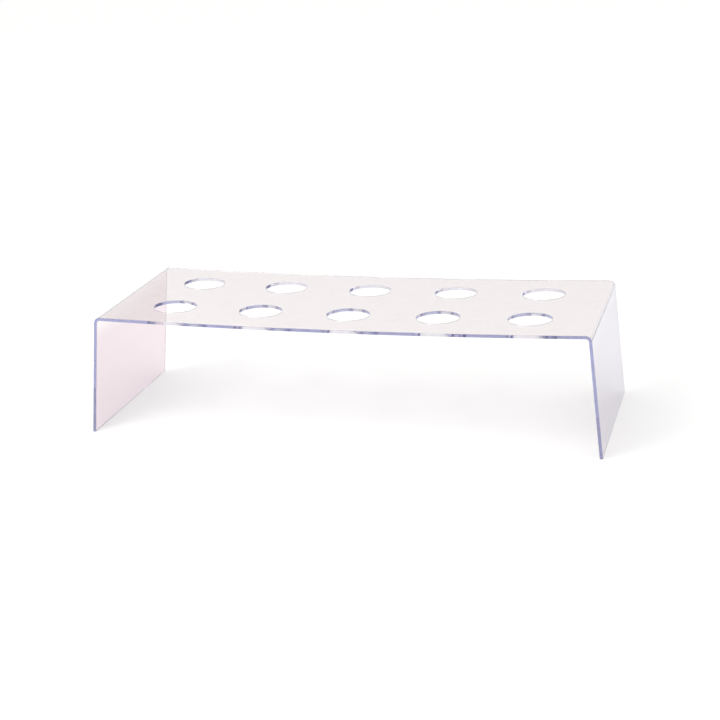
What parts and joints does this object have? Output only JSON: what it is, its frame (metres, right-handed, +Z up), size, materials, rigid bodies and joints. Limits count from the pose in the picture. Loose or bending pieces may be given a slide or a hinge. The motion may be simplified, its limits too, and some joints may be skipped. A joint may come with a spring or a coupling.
{
  "type": "chip rack",
  "caption": "Clear sheet-plastic rack bent into a low bridge, with rows of round holes in its deck that hold round items upright.",
  "frame": {"origin": "on the floor, under the middle of the deck", "axes": "+X along the rack from its left leg to its right leg, +Y from its front edge to its rear edge, +Z up"},
  "size_m": [0.5126, 0.2, 0.1198],
  "materials": {
    "clear_plastic": "polished"
  },
  "bodies": {
    "root": {"rack_sheet": "clear_plastic"}
  },
  "joints": []
}
